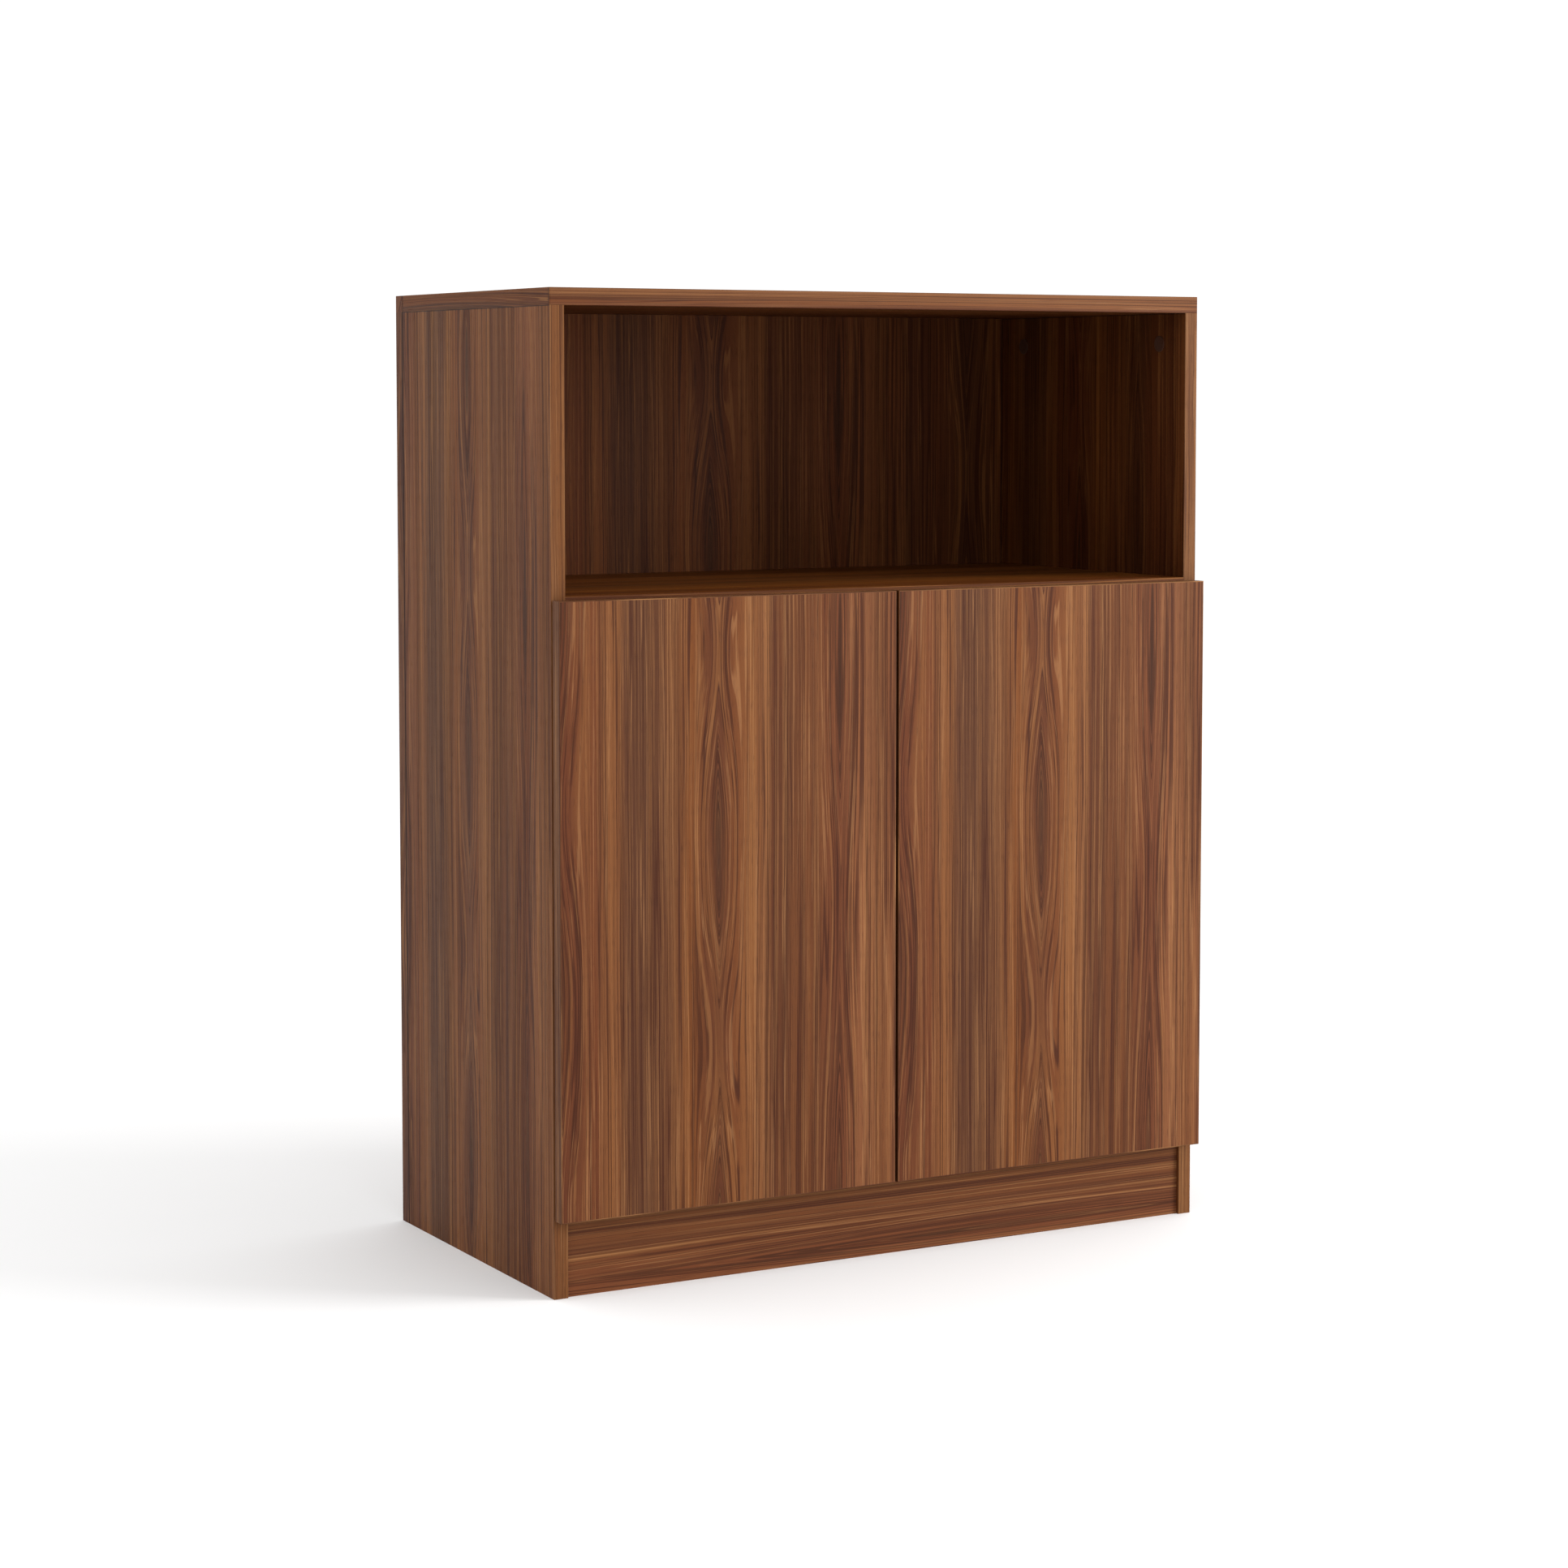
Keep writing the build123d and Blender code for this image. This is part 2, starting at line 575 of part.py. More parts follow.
with BuildPart() as left_adjust_screws:
    rods(web_tops, (-1, 0, 0), ADJUST_R - 0.2, WEB_X - PLATE_TOP_X)
    rods(web_tops, (1, 0, 0), ADJUST_R + 1.0, 1.4)
    cross_recess([(x + 1.4, y, z) for x, y, z in web_tops], (-1, 0, 0), 4.6, 1.0, 0.9)
save(left_adjust_screws, "left_adjust_screws")

with BuildPart() as left_arm_pins:
    for z in HINGE_Z:
        rods([(*INNER_ARM, z - CHEEK_Z[1])], UP, INNER_ARM_PIN_R, 2 * CHEEK_Z[1])
        for level in both_sides((OUTER_LINK_Z[0], CHEEK_Z[1]), z):
            rods([(*OUTER_ARM, level[0])], UP, OUTER_ARM_PIN_R, level[1] - level[0])
save(left_arm_pins, "left_arm_pins")

PLATE_BASE, PLATE_WING, PLATE_HALF, RIDGE_HALF = 3.0, 7.0, 24.0, 7.0
wing_x = -INNER + PLATE_BASE
with BuildPart() as left_mounting_plates:
    for z in HINGE_Z:
        block((-INNER, wing_x), (PLATE_Y - PLATE_WING, PLATE_Y + PLATE_WING),
              (z - PLATE_HALF, z + PLATE_HALF))
        block((-INNER, PLATE_TOP_X), (FRONT + 24.0, FRONT + 62.0), (z - RIDGE_HALF, z + RIDGE_HALF))
    plate_screw_points = [(wing_x, PLATE_Y, z + step) for z in HINGE_Z
                          for step in (-PLATE_SCREW_STEP, PLATE_SCREW_STEP)]
    drill(plate_screw_points, (-1, 0, 0), EURO_R, PLATE_BASE)
    fillet(left_mounting_plates.edges().filter_by(Axis.X).group_by(Axis.Z)[0], 3.0)
    fillet(left_mounting_plates.edges().filter_by(Axis.X).group_by(Axis.Z)[-1], 3.0)
save(left_mounting_plates, "left_mounting_plates")

with BuildPart() as left_plate_screws:
    rods(plate_screw_points, (-1, 0, 0), EURO_R, PLATE_BASE + EURO_DEPTH - 1.0)
    rods(plate_screw_points, (1, 0, 0), 4.2, 2.0)
    cross_recess([(x + 2.0, y, z) for x, y, z in plate_screw_points], (-1, 0, 0), 5.0, 1.0, 1.3)
save(left_plate_screws, "left_plate_screws")

flange_y = DOOR_BACK + FLANGE
pocket_depth = CUP_DEPTH + FLANGE - CUP_WALL
with BuildPart() as left_hinge_cups:
    rods([(CUP_X, DOOR_BACK, z) for z in HINGE_Z], into_door, CUP_R, CUP_DEPTH)
    for z in HINGE_Z:
        with BuildSketch(Plane(origin=(0, DOOR_BACK, 0), x_dir=(1, 0, 0), z_dir=BACKWARDS)) as ears:
            with Locations((CUP_SCREW_X, -z - CUP_SCREW_STEP), (CUP_SCREW_X, -z + CUP_SCREW_STEP)):
                Circle(6.0)
            with Locations((CUP_X, -z)):
                Circle(CUP_R + 1.5)
            make_hull()
        extrude(ears.sketch, amount=FLANGE)
    rods([(CUP_X, flange_y, z) for z in HINGE_Z], into_door, CUP_R - CUP_WALL, pocket_depth,
         mode=Mode.SUBTRACT)
    for z in HINGE_Z:
        for level in both_sides(LUG_Z, z):
            root = (CUP_X - CUP_R + CUP_WALL + LUG_R, INNER_CUP[1])
            bar(level, [(root, LUG_R), (INNER_CUP, LUG_R)])
            pin_holes(level, [(INNER_CUP, INNER_CUP_PIN_R)])
        pin_holes((z - CUP_R, z + CUP_R), [(OUTER_CUP_PIN, OUTER_CUP_PIN_R)])
    drill([(x, y + FLANGE, z) for x, y, z in cup_screw_points], into_door, CUP_SCREW_R, FLANGE)
save(left_hinge_cups, "left_hinge_cups")

with BuildPart() as left_cup_pins:
    for z in HINGE_Z:
        rods([(*INNER_CUP, z - LUG_Z[1])], UP, INNER_CUP_PIN_R, 2 * LUG_Z[1])
        for level in both_sides((LUG_Z[1] + 0.3, CUP_PIN_HALF), z):
            rods([(*OUTER_CUP_PIN, level[0])], UP, OUTER_CUP_PIN_R, level[1] - level[0])
save(left_cup_pins, "left_cup_pins")

with BuildPart() as left_cup_screws:
    heads = [(x, flange_y, z) for x, y, z in cup_screw_points]
    rods(heads, into_door, CUP_SCREW_R, CUP_SCREW_L)
    rods(heads, BACKWARDS, 3.2, 1.6)
    cross_recess([(x, y + 1.6, z) for x, y, z in heads], into_door, 3.8, 0.8, 1.0)
save(left_cup_screws, "left_cup_screws")

# ---- left push latch ----
with BuildPart() as left_latch_housing:
    latch_y = (LATCH_FRONT, LATCH_FRONT + LATCH_L)
    block((-LATCH_X - LATCH_HALF, -LATCH_X + LATCH_HALF), latch_y,
          (LATCH_Z - LATCH_HALF, SHELF_UNDER))
    fillet(left_latch_housing.edges().filter_by(Axis.Y).group_by(Axis.Z)[0], 3.0)
    block((-LATCH_X - LATCH_EAR - 4.0, -LATCH_X + LATCH_EAR + 4.0),
          (LATCH_SCREW_Y - 5.0, LATCH_SCREW_Y + 5.0), (SHELF_UNDER - EAR_T, SHELF_UNDER))
    drill([(-LATCH_X, LATCH_FRONT, LATCH_Z)], BACKWARDS, PLUNGER_R, LATCH_L - 4.0)
    drill([(-LATCH_X + step, LATCH_SCREW_Y, SHELF_UNDER) for step in (-LATCH_EAR, LATCH_EAR)],
          DOWN, LATCH_SCREW_R, EAR_T)
save(left_latch_housing, "left_latch_housing")

with BuildPart() as left_latch_plunger:
    rods([(-LATCH_X, FRONT, LATCH_Z)], BACKWARDS, PLUNGER_R, PLUNGER_L)
    fillet(left_latch_plunger.faces().sort_by(Axis.Y)[0].edges(), 0.8)
save(left_latch_plunger, "left_latch_plunger")

with BuildPart() as left_latch_screws:
    heads = [(-LATCH_X + step, LATCH_SCREW_Y, SHELF_UNDER - EAR_T)
             for step in (-LATCH_EAR, LATCH_EAR)]
    rods(heads, UP, LATCH_SCREW_R, EAR_T + LATCH_SCREW_DEPTH - 1.0)
    rods(heads, DOWN, 3.0, 1.8)
    cross_recess([(x, y, z - 1.8) for x, y, z in heads], UP, 3.6, 0.8, 1.2)
save(left_latch_screws, "left_latch_screws")

# ---- everything on the left door and its latch again on the right ----
left_pieces = {
    "door": left_door, "door_bands": left_door_bands, "door_bumpers": left_door_bumpers,
    "strike_plate": left_strike_plate, "strike_screws": left_strike_screws,
    "inner_links": left_inner_links, "outer_links": left_outer_links,
    "hinge_arms": left_hinge_arms, "arm_pins": left_arm_pins,
    "adjust_screws": left_adjust_screws, "mounting_plates": left_mounting_plates,
    "plate_screws": left_plate_screws, "hinge_cups": left_hinge_cups,
    "cup_pins": left_cup_pins, "cup_screws": left_cup_screws,
    "latch_housing": left_latch_housing, "latch_plunger": left_latch_plunger,
    "latch_screws": left_latch_screws,
}
for name, piece in left_pieces.items():
    save(mirrored(piece), f"right_{name}")
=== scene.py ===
"""Looks, light and camera for the walnut storage cabinet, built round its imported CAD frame."""

import math

import bpy
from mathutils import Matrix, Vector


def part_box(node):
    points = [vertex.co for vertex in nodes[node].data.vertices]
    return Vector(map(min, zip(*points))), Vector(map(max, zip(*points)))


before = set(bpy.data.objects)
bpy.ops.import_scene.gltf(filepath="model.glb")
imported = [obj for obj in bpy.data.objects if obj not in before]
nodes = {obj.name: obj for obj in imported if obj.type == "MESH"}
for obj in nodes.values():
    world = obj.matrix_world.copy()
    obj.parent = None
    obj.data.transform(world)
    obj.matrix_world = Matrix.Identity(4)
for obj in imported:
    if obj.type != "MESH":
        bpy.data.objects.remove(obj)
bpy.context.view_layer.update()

X, Y, Z = (1.0, 0.0, 0.0), (0.0, 1.0, 0.0), (0.0, 0.0, 1.0)
AGAINST_X, AGAINST_Y, AGAINST_Z = (-1.0, 0.0, 0.0), (0.0, -1.0, 0.0), (0.0, 0.0, -1.0)

# The laminate's printed pattern: it repeats across the grain every REPEAT metres.
REPEAT = 0.6

# Broad bands across one repeat: distance across in metres, then the colour in 8-bit sRGB.
BANDS = [
    (0.000, (104, 58, 40)),
    (0.028, (112, 66, 44)),
    (0.040, (112, 64, 42)),
    (0.050, (132, 84, 54)),
    (0.066, (126, 80, 52)),
    (0.075, (93, 58, 43)),
    (0.100, (94, 60, 44)),
    (0.118, (98, 60, 42)),
    (0.126, (122, 79, 52)),
    (0.150, (124, 74, 42)),
    (0.166, (106, 62, 40)),
    (0.186, (100, 58, 40)),
    (0.200, (116, 68, 42)),
    (0.216, (128, 80, 50)),
    (0.232, (124, 78, 50)),
    (0.238, (146, 98, 66)),
    (0.242, (138, 92, 60)),
    (0.245, (98, 56, 38)),
    (0.266, (110, 67, 43)),
    (0.300, (108, 64, 41)),
    (0.330, (118, 68, 46)),
    (0.360, (134, 86, 60)),
    (0.378, (118, 72, 46)),
    (0.392, (128, 80, 54)),
    (0.410, (94, 56, 42)),
    (0.450, (110, 66, 46)),
    (0.470, (88, 54, 42)),
    (0.500, (96, 60, 44)),
    (0.530, (116, 70, 46)),
    (0.565, (128, 80, 48)),
    (0.580, (102, 60, 42)),
]

# Flat-sawn figures: centre across, base depth, swing, length of one swing and height of its crest, in metres.
FIGURES = [
    (0.000, 0.0100, -0.0062, 0.42, 0.30),
    (0.183, 0.0108, -0.0074, 0.42, 0.46),
    (0.328, 0.0088, -0.0044, 0.58, 0.08),
    (0.480, 0.0095, -0.0055, 0.50, 0.30),
    (0.600, 0.0100, -0.0062, 0.42, 0.30),
]

# How round the points of the figures are, in metres.
TIP_RADIUS = 0.0016

# Distances from a figure's centre line in metres: over the first pair its arches straighten out, over
# the second its dark heart fades, over the third the dark rings round the heart do.
ARCH_REACH = (0.003, 0.036)
HEART_EDGE = (0.0052, 0.0098)
NEAR_HEART = (0.009, 0.020)

# How far the grain wanders sideways, in metres: slowly, finely, and the broad bands on their own.
SLOW_WANDER, FINE_WANDER, BAND_WANDER = 0.008, 0.0028, 0.007

# Noise drawn out along the grain: waves per metre across and along, an offset that sets it apart from
# the others, and detail.
SLOW_NOISE = (6.0, 1.5, 0.0, 2.0)
FINE_NOISE = (38.0, 6.5, 4.0, 2.0)
HAIR_GROUPS = (48.0, 2.2, 71.0, 2.0)
HEART_RINGS = (300.0, 1.5, 51.0, 2.0)
PORE_DASHES = (1500.0, 55.0, 9.0, 1.0)

# Lines that follow the rings: the same four numbers, then roughness.
STREAKS = (70.0, 1.1, 0.0, 3.0, 0.6)
DARK_GROWTH = (260.0, 1.2, 11.0, 5.0, 0.72)
PALE_GROWTH = (340.0, 1.6, 23.0, 4.0, 0.7)
DARK_HAIR = (210.0, 0.9, 31.0, 2.0, 0.5)
PALE_HAIR = (270.0, 1.4, 43.0, 2.0, 0.5)

# How far such lines shift with the distance across, as a share of their waves per metre.
LINE_DRIFT = 0.12

# Where in its noise a mark begins and where it is at full strength.
DARK_STREAK_AT, PALE_STREAK_AT = (0.50, 0.66), (0.48, 0.32)
DARK_GROWTH_AT, PALE_GROWTH_AT = (0.515, 0.62), (0.53, 0.64)
DARK_HAIR_AT, PALE_HAIR_AT = (0.40, 0.58), (0.62, 0.46)
PORES_AT = (0.56, 0.70)

# A hairline's half width, as a step in its noise, and how strongly it shows.
DARK_HAIR_LINE, PALE_HAIR_LINE, RING_LINE = (0.034, 0.85), (0.030, 0.42), (0.050, 0.75)

# How strongly the other marks show.
HEART_SHARE, PORE_SHARE = 0.85, 0.30
DARK_STREAK_SHARE, PALE_STREAK_SHARE = 0.38, 0.28
DARK_GROWTH_SHARE, PALE_GROWTH_SHARE = 0.72, 0.32

# The marks' colours in 8-bit sRGB.
HEART_COLOUR, RING_COLOUR = (74, 46, 34), (64, 38, 28)
DARK_STREAK_COLOUR, PALE_STREAK_COLOUR = (78, 46, 34), (160, 108, 66)
DARK_GROWTH_COLOUR, PALE_GROWTH_COLOUR = (66, 34, 24), (170, 120, 80)
DARK_HAIR_COLOUR, PALE_HAIR_COLOUR = (72, 38, 28), (172, 124, 88)
PORE_COLOUR, SEAM_COLOUR = (58, 32, 24), (38, 22, 16)

# How much of the printed colours the board's finish gives back, red, green and blue.
TONE = (0.78, 0.74, 0.62, 1.0)

# Shares of the growth lines and the pores in the embossed relief, and how much rougher a pore is.
GROWTH_RELIEF, PORE_RELIEF, PORE_ROUGHNESS = 0.25, 0.75, 0.12
LAMINATE_ROUGHNESS = (0.40, 0.50)
LAMINATE_SPECULAR = 0.06

# The part of a noise's range over which its effect runs from least to most.
NOISE_RANGE = (0.3, 0.7)

# Bumps: how strong they are and how deep in metres.
LAMINATE_BUMP, PLASTIC_BUMP, BEECH_BUMP = (0.25, 0.0004), (0.3, 0.00015), (0.3, 0.0002)
METAL_BUMP_DEPTH = 0.0002

# The fittings' finish: clouds and grain per metre, the clouds' darkest shade, and how far the roughness
# goes below and above its mean.
METAL_SKIN = 12.0
METAL_SHADE, METAL_SPREAD = 0.84, (0.06, 0.08)
PLASTIC_CLOUDS, PLASTIC_GRAIN = 90.0, 2600.0
PLASTIC_SHADE, PLASTIC_SPREAD = 0.88, (0.05, 0.07)
BEECH_GRAIN = 700.0
BEECH_STOPS = (0.3, (214, 178, 134)), (0.75, (176, 132, 90))
BEECH_ROUGHNESS = (0.55, 0.72)

# Tints board by board: cooler outside, more golden on the shelves, and painted shade: a deeper tint on faces
# that look into the cabinet or into the gap between the doors.
OUTSIDE = (0.92, 0.89, 0.76)
INSIDE_PAINTED_SHADE = (0.67, 0.55, 0.39)
SHELVES = (1.10, 0.93, 0.45)
PLINTH = (1.06, 1.08, 1.06)
DOOR_FACE = (0.96, 0.96, 0.96)
DOOR_EDGE = (1.22, 1.26, 1.20)
SIDE_EDGE = (0.93, 1.0, 1.04)
TOP_EDGE = (0.96, 1.0, 1.06)
SHELF_EDGE = (1.22, 1.08, 0.76)

# How squarely a face has to look into the cabinet to begin to have the painted inside shade, and to have all
# of it.
PAINTED_SHADE_RANGE = (0.4, 0.8)

# Widths in metres of the dark lines where boards meet, and how strongly they show.
REAR_SEAM_WIDTH, TOP_SEAM_WIDTH, CORNER_SEAM_WIDTH = 0.0026, 0.0012, 0.0016
SEAM_SHARE = 0.85

# The studio: the floor's size in metres, its clouds per metre, two tones and roughness, the surround, and
# the key light's place, aim, size and power.
FLOOR_SIZE, FLOOR_CLOUDS, FLOOR_ROUGHNESS = 60.0, 0.4, 0.9
FLOOR_TONES = (0.92, 0.92, 0.92, 1.0), (0.95, 0.95, 0.95, 1.0)
SURROUND_STRENGTH = 1.1
KEY_PLACE, KEY_TARGET = (4.0, -2.7, 1.6), (0.0, 0.0, 0.5)
KEY_SIZE, KEY_POWER = 2.2, 230.0

# The camera: place in metres, how far it looks down and to the right in degrees, focal length and sensor
# in millimetres, shift as a share of the frame, and the nearest and farthest it sees in metres.
CAMERA_PLACE = (-1.9196, -3.4251, 0.9363)
CAMERA_DOWN, CAMERA_RIGHT = 4.12, 28.97
CAMERA_LENS, CAMERA_SENSOR = 80.67, 36.0
CAMERA_SHIFT = -0.09
CAMERA_CLIP = 0.05, 100.0


def linear(rgb):
    """An 8-bit sRGB colour as the linear RGBA that Blender works in."""
    def channel(value):
        value /= 255
        return value / 12.92 if value <= 0.04045 else ((value + 0.055) / 1.055) ** 2.4
    return (*[channel(v) for v in rgb], 1.0)


class Graph:
    """Adds nodes to one node tree. A value may be a number, a colour or another node's output."""

    def __init__(self, tree):
        self.tree = tree

    def add(self, kind, values=None, **settings):
        node = self.tree.nodes.new(kind)
        for key, value in settings.items():
            setattr(node, key, value)
        for key, value in (values or {}).items():
            if isinstance(value, bpy.types.NodeSocket):
                self.tree.links.new(value, node.inputs[key])
            else:
                node.inputs[key].default_value = value
        return node

    def math(self, operation, a, b=0.0, c=0.0):
        return self.add("ShaderNodeMath", {0: a, 1: b, 2: c}, operation=operation).outputs[0]

    def vector(self, x, y, z=0.0):
        return self.add("ShaderNodeCombineXYZ", {0: x, 1: y, 2: z}).outputs[0]

    def dot(self, point, direction):
        node = self.add("ShaderNodeVectorMath", {0: point, 1: direction}, operation="DOT_PRODUCT")
        return node.outputs["Value"]

    def noise(self, point, scale=1.0, detail=2.0, roughness=0.5):
        values = {"Vector": point, "Scale": scale, "Detail": detail, "Roughness": roughness}
        return self.add("ShaderNodeTexNoise", values).outputs[0]

    def contour(self, value, half_width, strength):
        """Thin lines of this strength where a value passes one half."""
        away = self.math("ABSOLUTE", self.math("SUBTRACT", value, 0.5))
        return self.step(away, half_width * 0.35, half_width, strength, 0.0)

    def step(self, value, low, high, to_low=0.0, to_high=1.0):
        """Runs smoothly from to_low to to_high as value goes from low to high."""
        values = {0: value, 1: low, 2: high, 3: to_low, 4: to_high}
        return self.add("ShaderNodeMapRange", values, interpolation_type="SMOOTHSTEP").outputs[0]

    def ramp(self, value, stops):
        node = self.add("ShaderNodeValToRGB", {0: value})
        elements = node.color_ramp.elements
        elements[0].position, elements[0].color = stops[0]
        elements[1].position, elements[1].color = stops[-1]
        for position, colour in stops[1:-1]:
            elements.new(position).color = colour
        return node.outputs[0]

    def mix(self, share, a, b, blend="MIX"):
        node = self.add("ShaderNodeMix", data_type="RGBA", blend_type=blend)
        for socket, value in ((node.inputs[0], share), (node.inputs[6], a), (node.inputs[7], b)):
            if isinstance(value, bpy.types.NodeSocket):
                self.tree.links.new(value, socket)
            else:
                socket.default_value = value
        return node.outputs[2]


def walnut_pattern():
    """The laminate's print as a node group: metres across and along the grain in, and colour, height and
    roughness out."""
    tree = bpy.data.node_groups.new("walnut_pattern", "ShaderNodeTree")
    for name in ("Across", "Along"):
        tree.interface.new_socket(name, in_out="INPUT", socket_type="NodeSocketFloat")
    tree.interface.new_socket("Colour", in_out="OUTPUT", socket_type="NodeSocketColor")
    for name in ("Height", "Roughness"):
        tree.interface.new_socket(name, in_out="OUTPUT", socket_type="NodeSocketFloat")
    g = Graph(tree)
    given = g.add("NodeGroupInput")
    across, along = given.outputs[0], given.outputs[1]

    def grain(value, waves_across, waves_along, offset, detail):
        point = g.vector(
            g.math("MULTIPLY", value, waves_across),
            g.math("MULTIPLY", along, waves_along),
            offset,
        )
        return g.noise(point, detail=detail)

    def wander(noise, amount, start):
        return g.math("MULTIPLY_ADD", g.math("SUBTRACT", noise, 0.5), amount, start)

    # Grain never runs dead straight: a slow wander, and a fine one on top of it.
    slow = grain(across, *SLOW_NOISE)
    fine = grain(across, *FINE_NOISE)
    bend = wander(fine, FINE_WANDER, wander(slow, SLOW_WANDER, across))
    place = g.math("MULTIPLY", g.math("FRACT", g.math("DIVIDE", bend, REPEAT)), REPEAT)
    straight = g.math("FRACT", g.math("DIVIDE", wander(slow, BAND_WANDER, across), REPEAT))

    # Growth rings cut by a flat board: distance from a pith whose depth swings along the board,
    # which bends the rings near it into pointed arches and leaves those far from it straight.
    rings = None
    for centre, depth, swing, length, crest in FIGURES:
        phase = g.math("MULTIPLY", g.math("SUBTRACT", along, crest), 2 * math.pi / length)
        below = g.math("MULTIPLY_ADD", g.math("COSINE", phase), swing, depth)
        aside = g.math("SUBTRACT", place, centre)
        aside = g.math("SQRT", g.math("MULTIPLY_ADD", aside, aside, TIP_RADIUS ** 2))
        reach = g.step(aside, *ARCH_REACH, 1.0, 0.0)
        distance = g.math("MULTIPLY_ADD", below, reach, aside)
        rings = distance if rings is None else g.math("MINIMUM", rings, distance)

    def lines(waves_across, waves_along, offset, detail, roughness):
        point = g.vector(
            g.math("MULTIPLY", rings, waves_across),
            g.math("MULTIPLY_ADD", along, waves_along, offset),
            g.math("MULTIPLY", across, LINE_DRIFT * waves_across),
        )
        return g.noise(point, detail=detail, roughness=roughness)

    stops = [(at / REPEAT, linear(rgb)) for at, rgb in BANDS]
    colour = g.ramp(straight, stops + [(1.0, stops[0][1])])

    def mark(share, rgb):
        return g.mix(share, colour, linear(rgb))

    # A heart of darker, greyer wood where a figure's rings close.
    colour = mark(g.step(rings, *HEART_EDGE, HEART_SHARE, 0.0), HEART_COLOUR)

    # Soft streaks a few millimetres to a few centimetres wide.
    streak = lines(*STREAKS)
    colour = mark(g.step(streak, *DARK_STREAK_AT, 0.0, DARK_STREAK_SHARE), DARK_STREAK_COLOUR)
    colour = mark(g.step(streak, *PALE_STREAK_AT, 0.0, PALE_STREAK_SHARE), PALE_STREAK_COLOUR)

    # Thin dark growth lines and thin pale ones between them.
    dark = lines(*DARK_GROWTH)
    colour = mark(g.step(dark, *DARK_GROWTH_AT, 0.0, DARK_GROWTH_SHARE), DARK_GROWTH_COLOUR)
    colour = mark(g.step(lines(*PALE_GROWTH), *PALE_GROWTH_AT, 0.0, PALE_GROWTH_SHARE), PALE_GROWTH_COLOUR)

    # Hairlines that run on for hundreds of millimetres, in groups: dark ones, and pale ones away from the
    # hearts.
    group = grain(bend, *HAIR_GROUPS)
    hair = g.contour(lines(*DARK_HAIR), *DARK_HAIR_LINE)
    colour = mark(g.math("MULTIPLY", hair, g.step(group, *DARK_HAIR_AT)), DARK_HAIR_COLOUR)
    near = g.step(rings, *NEAR_HEART, 1.0, 0.0)
    hair = g.contour(lines(*PALE_HAIR), *PALE_HAIR_LINE)
    away = g.math("MULTIPLY", g.step(group, *PALE_HAIR_AT), g.math("SUBTRACT", 1.0, near))
    colour = mark(g.math("MULTIPLY", hair, away), PALE_HAIR_COLOUR)

    # Round each heart a few dark rings stand out, so that they close in nested points.
    ring = g.contour(grain(rings, *HEART_RINGS), *RING_LINE)
    colour = mark(g.math("MULTIPLY", near, ring), RING_COLOUR)

    # Pores: short dark dashes along the grain, which also carry the embossed relief.
    pores = g.step(grain(bend, *PORE_DASHES), *PORES_AT)
    colour = mark(g.math("MULTIPLY", pores, PORE_SHARE), PORE_COLOUR)
    colour = g.mix(1.0, colour, TONE, "MULTIPLY")

    raised = g.math("MULTIPLY", dark, GROWTH_RELIEF)
    height = g.math("SUBTRACT", raised, g.math("MULTIPLY", pores, PORE_RELIEF))
    roughness = g.step(streak, *NOISE_RANGE, *LAMINATE_ROUGHNESS)
    roughness = g.math("MULTIPLY_ADD", pores, PORE_ROUGHNESS, roughness)
    g.add("NodeGroupOutput", {0: colour, 1: height, 2: roughness})
    return tree


def material(name):
    """A new material with its node graph, its Principled shader and its Object coordinates."""
    made = bpy.data.materials.new(name)
    made.use_nodes = True
    g = Graph(made.node_tree)
    shader = next(n for n in g.tree.nodes if n.type == "BSDF_PRINCIPLED")
    return made, g, shader, g.add("ShaderNodeTexCoord").outputs["Object"]


def emboss(g, shader, height, strength, depth):
    """Turns a height into a bump on the shader."""
    bump = g.add("ShaderNodeBump", {"Strength": strength, "Distance": depth, "Height": height})
    g.tree.links.new(bump.outputs[0], shader.inputs["Normal"])


def make_cloudy(g, shader, cloud, colour, shade, roughness, spread):
    """Clouds go down to a darker shade of the colour, and make the roughness spread round its mean."""
    darker = linear([c * shade for c in colour])
    g.tree.links.new(g.mix(cloud, linear(colour), darker), shader.inputs["Base Color"])
    below, above = spread
    uneven = g.step(cloud, *NOISE_RANGE, roughness - below, roughness + above)
    g.tree.links.new(uneven, shader.inputs["Roughness"])


